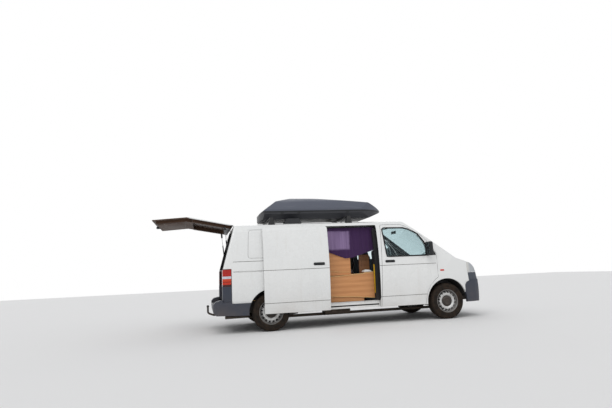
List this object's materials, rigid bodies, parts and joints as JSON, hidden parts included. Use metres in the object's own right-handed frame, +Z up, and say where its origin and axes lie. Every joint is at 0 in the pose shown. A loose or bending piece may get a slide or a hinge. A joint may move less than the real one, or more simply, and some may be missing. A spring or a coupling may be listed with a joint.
{
  "type": "camper van",
  "caption": "Long panel van turned camper, with front doors, open sliding side door, raised tailgate, roof box on bars, wooden bed fittings and steered front wheels.",
  "frame": {"origin": "on the ground under the middle of the van's bounding box, with the tailgate raised", "axes": "+X forward, +Y to the van's left, +Z up"},
  "size_m": [6.3365, 2.283, 2.464],
  "materials": {
    "paint": "warm white gloss paint",
    "trim": "grained dark blue-grey plastic",
    "glass": "clear, slightly blue",
    "black_plastic": "satin black",
    "lamp_clear": "clear lens over a bright reflector",
    "lamp_red": "red lens",
    "floor_metal": "dark underside and floor",
    "cast_metal": "as cast",
    "steel": "dull steel",
    "chassis": "black chassis paint",
    "tyre": "dusty rubber",
    "rim": "silver-painted steel",
    "dash": "grained dark grey",
    "seat_cloth": "dark grey cloth",
    "pine": "oiled orange-brown pine",
    "bedding": "woven cover",
    "pillow_cloth": "light cloth",
    "curtain_cloth": "deep purple thin cloth",
    "vent_plastic": "weathered grey",
    "box_dark": "grained black-grey",
    "box_grey": "dark grey-blue",
    "black_steel": "black",
    "rod_chrome": "polished rod"
  },
  "bodies": {
    "body": {"side_frame_right": "paint", "side_frame_left": "paint", "roof_panel": "paint", "front_wings": "paint", "scuttle": "trim", "front_bumper": "trim", "fixed_glass": "glass", "sliding_door": "paint", "headlamps": "lamp_clear", "tail_lamps": "lamp_red", "grille": "black_plastic", "rear_bumper": "trim", "floor_pan": "floor_metal", "inner_front": "paint", "engine_block": "cast_metal", "fuel_tank": "black_plastic", "exhaust": "steel", "front_subframe": "chassis", "rear_axle": "chassis", "tow_bar": "chassis", "dashboard": "dash", "driver_seat": "seat_cloth", "passenger_seat": "seat_cloth", "bed_box": "pine", "cabinet": "pine", "mattress": "bedding", "pillow": "pillow_cloth", "curtain": "curtain_cloth", "roof_bars": "steel", "roof_vent": "vent_plastic", "roof_box_base": "box_dark"},
    "bonnet": {"bonnet": "paint"},
    "tailgate": {"tailgate": "paint", "tailgate_glass": "glass"},
    "door_right": {"door_right": "paint", "door_glass_right": "glass", "mirror_right": "black_plastic"},
    "door_left": {"door_left": "paint", "door_glass_left": "glass", "mirror_left": "black_plastic"},
    "knuckle_right": {"knuckle_right": "chassis"},
    "knuckle_left": {"knuckle_left": "chassis"},
    "wheel_front_right": {"tyre_front_right": "tyre", "rim_front_right": "rim"},
    "wheel_front_left": {"tyre_front_left": "tyre", "rim_front_left": "rim"},
    "wheel_rear_right": {"tyre_rear_right": "tyre", "rim_rear_right": "rim"},
    "wheel_rear_left": {"tyre_rear_left": "tyre", "rim_rear_left": "rim"},
    "box_lid": {"roof_box_lid": "box_grey"},
    "steering_wheel": {"steering_wheel": "black_plastic"},
    "strut_tube_right": {"strut_tube_right": "black_steel"},
    "strut_tube_left": {"strut_tube_left": "black_steel"},
    "strut_rod_right": {"strut_rod_right": "rod_chrome"},
    "strut_rod_left": {"strut_rod_left": "rod_chrome"}
  },
  "joints": [
    {"name": "door_right_hinge", "type": "hinge", "parent": "body", "child": "door_right", "pos_m": [2.08992, -0.954, 1], "axis": [0, 0, 1], "range_deg": [0, 70]},
    {"name": "door_left_hinge", "type": "hinge", "parent": "body", "child": "door_left", "pos_m": [2.08992, 0.954, 1], "axis": [0, 0, -1], "range_deg": [0, 70]},
    {"name": "bonnet_hinge", "type": "hinge", "parent": "body", "child": "bonnet", "pos_m": [2.51392, 0, 1.24134], "axis": [0, -1, 0], "range_deg": [0, 55]},
    {"name": "tailgate_hinge", "type": "hinge", "parent": "body", "child": "tailgate", "pos_m": [-1.74008, 0, 1.906], "axis": [0, 1, 0], "range_deg": [-85.5, 0]},
    {"name": "box_lid_hinge", "type": "hinge", "parent": "body", "child": "box_lid", "pos_m": [0.06792, 0.43, 2.197], "axis": [-1, 0, 0], "range_deg": [0, 55]},
    {"name": "steer_left", "type": "hinge", "parent": "body", "child": "knuckle_left", "pos_m": [2.26792, 0.73, 0.336], "axis": [0, 0, 1], "range_deg": [-35, 35]},
    {"name": "steer_right", "type": "hinge", "parent": "body", "child": "knuckle_right", "pos_m": [2.26792, -0.73, 0.336], "axis": [0, 0, 1], "range_deg": [-35, 35]},
    {"name": "steering_wheel_turn", "type": "hinge", "parent": "body", "child": "steering_wheel", "pos_m": [1.86292, 0.4, 1.054], "axis": [-0.8829, 0, 0.4695], "range_deg": [-490, 490]},
    {"name": "roll_front_left", "type": "hinge", "parent": "knuckle_left", "child": "wheel_front_left", "pos_m": [2.26792, 0.814, 0.336], "axis": [0, 1, 0], "continuous": true},
    {"name": "roll_front_right", "type": "hinge", "parent": "knuckle_right", "child": "wheel_front_right", "pos_m": [2.26792, -0.814, 0.336], "axis": [0, 1, 0], "continuous": true},
    {"name": "roll_rear_left", "type": "hinge", "parent": "body", "child": "wheel_rear_left", "pos_m": [-1.13208, 0.814, 0.336], "axis": [0, 1, 0], "continuous": true},
    {"name": "roll_rear_right", "type": "hinge", "parent": "body", "child": "wheel_rear_right", "pos_m": [-1.13208, -0.814, 0.336], "axis": [0, 1, 0], "continuous": true},
    {"name": "strut_pivot_right", "type": "hinge", "parent": "body", "child": "strut_tube_right", "pos_m": [-1.85208, -0.735, 1.29], "axis": [0, 1, 0], "range_deg": [0, 29.99]},
    {"name": "strut_slide_right", "type": "slide", "parent": "strut_tube_right", "child": "strut_rod_right", "axis": [-0.1005, 0, 0.9949], "range_m": [-0.0304, 0]},
    {"name": "strut_pivot_left", "type": "hinge", "parent": "body", "child": "strut_tube_left", "pos_m": [-1.85208, 0.735, 1.29], "axis": [0, 1, 0], "range_deg": [0, 29.99]},
    {"name": "strut_slide_left", "type": "slide", "parent": "strut_tube_left", "child": "strut_rod_left", "axis": [-0.1005, 0, 0.9949], "range_m": [-0.0304, 0]}
  ],
  "couplings": [
    {"joint": "steer_right", "follows": "steer_left", "ratio": 1},
    {"joint": "steering_wheel_turn", "follows": "steer_left", "ratio": 14},
    {"joint": "strut_pivot_right", "follows": "tailgate_hinge", "ratio": -0.3505},
    {"joint": "strut_slide_right", "follows": "tailgate_hinge", "m_per_rad": 0.020235},
    {"joint": "strut_pivot_left", "follows": "tailgate_hinge", "ratio": -0.3505},
    {"joint": "strut_slide_left", "follows": "tailgate_hinge", "m_per_rad": 0.020235}
  ]
}
